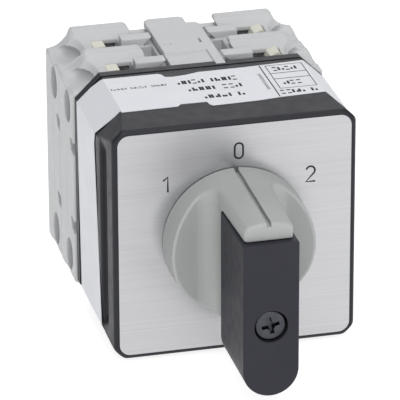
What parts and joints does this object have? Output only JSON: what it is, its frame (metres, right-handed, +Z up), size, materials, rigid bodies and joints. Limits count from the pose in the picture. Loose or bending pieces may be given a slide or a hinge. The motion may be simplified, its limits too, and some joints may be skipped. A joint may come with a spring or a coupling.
{
  "type": "manual transfer switch",
  "caption": "Panel-mounted rotary changeover switch with a square face plate, grey pointer knob, black lever and stacked contact decks for transferring a load between supplies.",
  "frame": {"origin": "on the shaft axis at the panel plane, the bezel's rear face", "axes": "+Y runs back into the panel along the shaft, +Z up towards position 0, +X right seen from the front"},
  "size_m": [0.0648, 0.1036, 0.0628],
  "materials": {
    "plate": "brushed, printed with 1 0 2",
    "black_plastic": "fine satin moulding",
    "grey_knob_plastic": "satin moulding",
    "deck_grey_plastic": "satin moulding",
    "label_sheet": "printed film",
    "zinc_steel": "zinc plated",
    "dark_steel": "blackened",
    "contact_brass": "bare",
    "inner_moulding": "natural"
  },
  "bodies": {
    "frame": {"face_plate": "plate", "bezel": "black_plastic", "bezel_screw_ne": "zinc_steel", "bezel_screw_nw": "zinc_steel", "bezel_screw_sw": "zinc_steel", "bezel_screw_se": "zinc_steel", "mechanism_housing": "black_plastic", "rating_label": "label_sheet", "back_plate": "black_plastic", "detent_spring_upper": "zinc_steel", "bridge_cover_upper": "deck_grey_plastic", "detent_spring_lower": "zinc_steel", "bridge_cover_lower": "deck_grey_plastic", "tie_bolt_right": "zinc_steel", "tie_bolt_left": "zinc_steel", "deck_front": "deck_grey_plastic", "contact_spring_front_upper": "zinc_steel", "strip_front_upper_right": "contact_brass", "terminal_screw_front_upper_right": "zinc_steel", "strip_front_upper_left": "contact_brass", "terminal_screw_front_upper_left": "zinc_steel", "contact_spring_front_lower": "zinc_steel", "strip_front_lower_right": "contact_brass", "terminal_screw_front_lower_right": "zinc_steel", "strip_front_lower_left": "contact_brass", "terminal_screw_front_lower_left": "zinc_steel", "deck_rear": "deck_grey_plastic", "contact_spring_rear_upper": "zinc_steel", "strip_rear_upper_right": "contact_brass", "terminal_screw_rear_upper_right": "zinc_steel", "strip_rear_upper_left": "contact_brass", "terminal_screw_rear_upper_left": "zinc_steel", "contact_spring_rear_lower": "zinc_steel", "strip_rear_lower_right": "contact_brass", "terminal_screw_rear_lower_right": "zinc_steel", "strip_rear_lower_left": "contact_brass", "terminal_screw_rear_lower_left": "zinc_steel"},
    "rotor": {"knob": "grey_knob_plastic", "handle_lever": "black_plastic", "lever_screw": "dark_steel", "knob_screw": "zinc_steel", "shaft": "zinc_steel", "index_wheel": "inner_moulding", "cam_front": "inner_moulding", "cam_rear": "inner_moulding"},
    "detent_upper": {"detent_plunger_upper": "zinc_steel"},
    "detent_lower": {"detent_plunger_lower": "zinc_steel"},
    "carrier_front_upper": {"carrier_front_upper": "inner_moulding", "bridge_front_upper": "contact_brass"},
    "carrier_front_lower": {"carrier_front_lower": "inner_moulding", "bridge_front_lower": "contact_brass"},
    "carrier_rear_upper": {"carrier_rear_upper": "inner_moulding", "bridge_rear_upper": "contact_brass"},
    "carrier_rear_lower": {"carrier_rear_lower": "inner_moulding", "bridge_rear_lower": "contact_brass"}
  },
  "joints": [
    {"name": "handle_turn", "type": "hinge", "parent": "frame", "child": "rotor", "pos_m": [0, 0, 0], "axis": [0, 1, 0], "range_deg": [-45, 45]},
    {"name": "detent_upper_slide", "type": "slide", "parent": "frame", "child": "detent_upper", "axis": [0, 0, 1], "range_m": [0, 0.0012], "stiffness_N_per_m": 1500, "springref_m": -0.002, "deforming": ["detent_spring_upper"]},
    {"name": "detent_lower_slide", "type": "slide", "parent": "frame", "child": "detent_lower", "axis": [0, 0, -1], "range_m": [0, 0.0012], "stiffness_N_per_m": 1500, "springref_m": -0.002, "deforming": ["detent_spring_lower"]},
    {"name": "carrier_front_upper_slide", "type": "slide", "parent": "frame", "child": "carrier_front_upper", "axis": [0, 0, 1], "range_m": [-0.0018, 0.0018], "deforming": ["contact_spring_front_upper"]},
    {"name": "carrier_front_lower_slide", "type": "slide", "parent": "frame", "child": "carrier_front_lower", "axis": [0, 0, -1], "range_m": [-0.0018, 0.0018], "deforming": ["contact_spring_front_lower"]},
    {"name": "carrier_rear_upper_slide", "type": "slide", "parent": "frame", "child": "carrier_rear_upper", "axis": [0, 0, 1], "range_m": [-0.0018, 0.0018], "deforming": ["contact_spring_rear_upper"]},
    {"name": "carrier_rear_lower_slide", "type": "slide", "parent": "frame", "child": "carrier_rear_lower", "axis": [0, 0, -1], "range_m": [-0.0018, 0.0018], "deforming": ["contact_spring_rear_lower"]}
  ],
  "couplings": [
    {"joint": "carrier_front_upper_slide", "follows": "handle_turn", "m_per_rad": 0.0022282},
    {"joint": "carrier_front_lower_slide", "follows": "handle_turn", "m_per_rad": 0.0022282},
    {"joint": "carrier_rear_upper_slide", "follows": "handle_turn", "m_per_rad": -0.0022282},
    {"joint": "carrier_rear_lower_slide", "follows": "handle_turn", "m_per_rad": -0.0022282}
  ]
}
